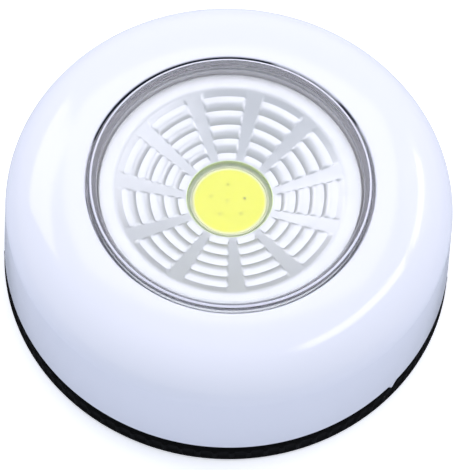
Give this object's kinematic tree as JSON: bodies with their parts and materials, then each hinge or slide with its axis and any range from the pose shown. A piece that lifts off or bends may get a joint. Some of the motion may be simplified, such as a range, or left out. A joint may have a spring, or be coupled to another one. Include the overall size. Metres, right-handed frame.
{
  "type": "stick-on push light",
  "caption": "Round battery push light: white domed housing, clear lens over a stepped reflector and LED disc, black twist-off base with a flat adhesive pad.",
  "frame": {"origin": "on the light axis, at the underside of the adhesive pad, where it meets the wall or shelf", "axes": "+Z along the light axis, from the pad out through the lens; +X is to the right in the picture and +Y is away from its camera"},
  "size_m": [0.072, 0.072, 0.0264],
  "materials": {
    "white_abs": "smooth gloss, very slightly bluish white",
    "black_abs": "satin black, fine ribs round the rim",
    "grey_abs": "plain moulded",
    "clear_acrylic": "clear and polished, with a turned rim",
    "silvered": "vacuum-metallised, satin",
    "foam": "closed-cell foam with adhesive on both faces",
    "phosphor": "yellow phosphor gel over six dies",
    "dam_white": "white silicone",
    "board_aluminium": "flat board with white lacquer",
    "nickel": "nickel-plated",
    "steel": "zinc-plated",
    "cell_jacket": "plain shrink jacket",
    "switch_black": "moulded",
    "red_pvc": "insulation",
    "black_pvc": "insulation",
    "resistor_lacquer": "lacquered"
  },
  "bodies": {
    "base": {"base_cover": "black_abs", "adhesive_pad": "foam"},
    "head": {"housing": "white_abs", "battery_frame": "grey_abs", "cell_1": "cell_jacket", "cell_2": "cell_jacket", "cell_3": "cell_jacket", "cell_spring_1": "nickel", "cell_spring_2": "nickel", "cell_spring_3": "nickel", "contact_link_1": "nickel", "contact_link_2": "nickel", "minus_terminal": "nickel", "plus_terminal": "nickel", "frame_screw_1": "steel", "frame_screw_2": "steel", "frame_screw_3": "steel", "switch_body": "switch_black", "return_spring": "steel", "resistor": "resistor_lacquer", "battery_lead": "red_pvc", "red_lead": "red_pvc", "black_lead": "black_pvc"},
    "button": {"lens": "clear_acrylic", "reflector": "silvered", "button_carrier": "grey_abs", "cob_board": "board_aluminium", "cob_dam": "dam_white", "cob_emitter": "phosphor", "reflector_screw_1": "steel", "reflector_screw_2": "steel", "reflector_screw_3": "steel"},
    "plunger": {"switch_plunger": "white_abs"}
  },
  "joints": [
    {"name": "head_twist", "type": "hinge", "parent": "base", "child": "head", "pos_m": [0, 0, 0.0047], "axis": [0, 0, 1], "range_deg": [0, 20]},
    {"name": "button_press", "type": "slide", "parent": "head", "child": "button", "axis": [0, 0, -1], "range_m": [0, 0.0015], "stiffness_N_per_m": 300, "springref_m": -0.003, "deforming": ["return_spring", "red_lead", "black_lead"]},
    {"name": "plunger_press", "type": "slide", "parent": "head", "child": "plunger", "axis": [0, 0, -1], "range_m": [0, 0.0015]}
  ],
  "couplings": [
    {"joint": "plunger_press", "follows": "button_press", "ratio": 1}
  ]
}
